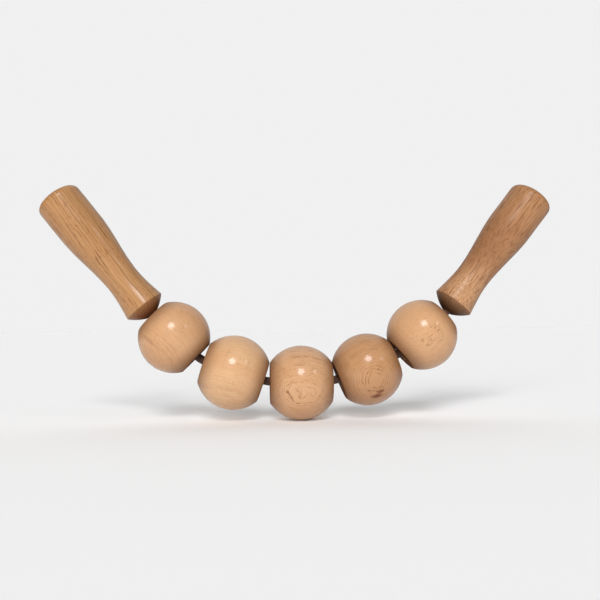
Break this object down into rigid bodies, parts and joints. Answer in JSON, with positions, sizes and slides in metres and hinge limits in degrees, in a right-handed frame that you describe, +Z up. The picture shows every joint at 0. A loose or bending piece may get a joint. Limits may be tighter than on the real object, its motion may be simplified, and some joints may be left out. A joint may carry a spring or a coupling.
{
  "type": "foot massage roller",
  "caption": "Massage roller of turned wooden balls that spin on a bendable cord, with a turned wooden grip at each end.",
  "frame": {"origin": "middle of the bounding box's base: the height of the middle ball's lowest point, halfway between the two grips' furthest reaches", "axes": "+Z up, +X towards the right grip along the string of balls, +Y away from the viewer and square to the plane that the cord bends in"},
  "size_m": [0.3598, 0.0518, 0.1657],
  "materials": {
    "ball_wood": "clear satin lacquer over light turned beech",
    "grip_wood": "clear satin lacquer over darker turned beech",
    "plug_wood": "end grain beech, lacquered over",
    "cord": "dark brown waxed round braid",
    "washer_steel": "plain zinc plated",
    "ferrule_metal": "crimped, bright"
  },
  "bodies": {
    "middle_cord": {"cord_3": "cord"},
    "ball_3": {"ball_3": "ball_wood"},
    "cord_2": {"cord_2": "cord"},
    "ball_2": {"ball_2": "ball_wood"},
    "cord_1": {"cord_1": "cord"},
    "ball_1": {"ball_1": "ball_wood"},
    "left_cord_end": {"cord_left_end": "cord", "left_washer": "washer_steel", "left_ferrule": "ferrule_metal"},
    "left_grip": {"left_grip": "grip_wood", "left_end_plug": "plug_wood"},
    "cord_4": {"cord_4": "cord"},
    "ball_4": {"ball_4": "ball_wood"},
    "cord_5": {"cord_5": "cord"},
    "ball_5": {"ball_5": "ball_wood"},
    "right_cord_end": {"cord_right_end": "cord", "right_washer": "washer_steel", "right_ferrule": "ferrule_metal"},
    "right_grip": {"right_grip": "grip_wood", "right_end_plug": "plug_wood"}
  },
  "joints": [
    {"name": "ball_3_spin", "type": "hinge", "parent": "middle_cord", "child": "ball_3", "pos_m": [-0.00044, 0, 0.0259], "axis": [1, 0, 0], "continuous": true},
    {"name": "bend_2_3", "type": "hinge", "parent": "middle_cord", "child": "cord_2", "pos_m": [-0.02461, 0, 0.0259], "axis": [0, 1, 0], "range_deg": [-37.4, 0]},
    {"name": "ball_2_spin", "type": "hinge", "parent": "cord_2", "child": "ball_2", "pos_m": [-0.04746, 0, 0.03363], "axis": [-0.9472, 0, 0.3206], "continuous": true},
    {"name": "bend_1_2", "type": "hinge", "parent": "cord_2", "child": "cord_1", "pos_m": [-0.07119, 0, 0.04167], "axis": [0, 1, 0], "range_deg": [-52, 0]},
    {"name": "ball_1_spin", "type": "hinge", "parent": "cord_1", "child": "ball_1", "pos_m": [-0.08828, 0, 0.05858], "axis": [-0.7108, 0, 0.7034], "continuous": true},
    {"name": "left_grip_bend", "type": "hinge", "parent": "cord_1", "child": "left_cord_end", "pos_m": [-0.10362, 0, 0.07376], "axis": [0, 1, 0], "range_deg": [-24.4, 10.6]},
    {"name": "left_grip_turn", "type": "hinge", "parent": "left_cord_end", "child": "left_grip", "pos_m": [-0.10409, 0, 0.07435], "axis": [-0.6211, 0, 0.7837], "continuous": true},
    {"name": "bend_3_4", "type": "hinge", "parent": "middle_cord", "child": "cord_4", "pos_m": [0.02405, 0, 0.0259], "axis": [0, -1, 0], "range_deg": [-42.4, 0]},
    {"name": "ball_4_spin", "type": "hinge", "parent": "cord_4", "child": "ball_4", "pos_m": [0.04627, 0, 0.03452], "axis": [0.9323, 0, 0.3616], "continuous": true},
    {"name": "bend_4_5", "type": "hinge", "parent": "cord_4", "child": "cord_5", "pos_m": [0.06833, 0, 0.04308], "axis": [0, -1, 0], "range_deg": [-39.8, 0]},
    {"name": "ball_5_spin", "type": "hinge", "parent": "cord_5", "child": "ball_5", "pos_m": [0.08589, 0, 0.05839], "axis": [0.7536, 0, 0.6574], "continuous": true},
    {"name": "right_grip_bend", "type": "hinge", "parent": "cord_5", "child": "right_cord_end", "pos_m": [0.10317, 0, 0.07346], "axis": [0, -1, 0], "range_deg": [-45.8, 24.2]},
    {"name": "right_grip_turn", "type": "hinge", "parent": "right_cord_end", "child": "right_grip", "pos_m": [0.10446, 0, 0.07512], "axis": [0.617, 0, 0.7869], "continuous": true}
  ]
}
